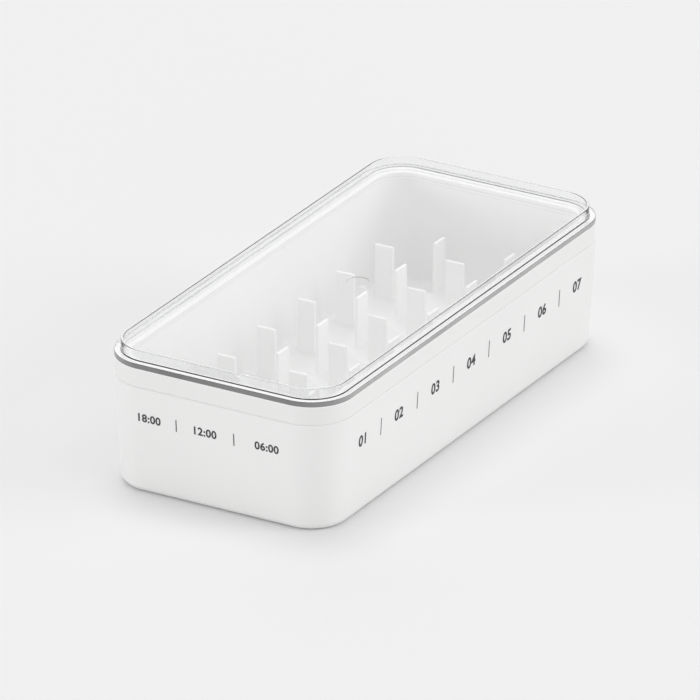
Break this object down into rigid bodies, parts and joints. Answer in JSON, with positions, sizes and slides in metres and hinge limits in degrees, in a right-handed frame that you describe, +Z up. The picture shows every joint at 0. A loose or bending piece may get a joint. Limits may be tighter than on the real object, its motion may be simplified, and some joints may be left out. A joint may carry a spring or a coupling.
{
  "type": "weekly pill dispenser",
  "caption": "Weekly pill dispenser: a tapered white box with a lift-out insert of 21 round bowls parted by upright fins, three for each of seven days, under a clear lift-off lid.",
  "frame": {"origin": "on the resting surface, under the middle of the box", "axes": "+Z up, +Y along the long side with the seven rows of bowls, +X towards the long side that carries the day marks"},
  "size_m": [0.0924, 0.2, 0.0534],
  "materials": {
    "white_shell": "fine satin, moulded",
    "white_insert": "fine satin, moulded",
    "clear_lid": "clear, polished",
    "print_ink": "dark grey screen print, matt"
  },
  "bodies": {
    "base": {"base_box": "white_shell"},
    "insert": {"compartment_insert": "white_insert"},
    "cover": {"lid": "clear_lid"}
  },
  "joints": [
    {"name": "insert_lift", "type": "slide", "parent": "base", "child": "insert", "axis": [0, 0, 1], "range_m": [0, 0.06]},
    {"name": "lid_lift", "type": "slide", "parent": "insert", "child": "cover", "axis": [0, 0, 1], "range_m": [0, 0.05]}
  ]
}
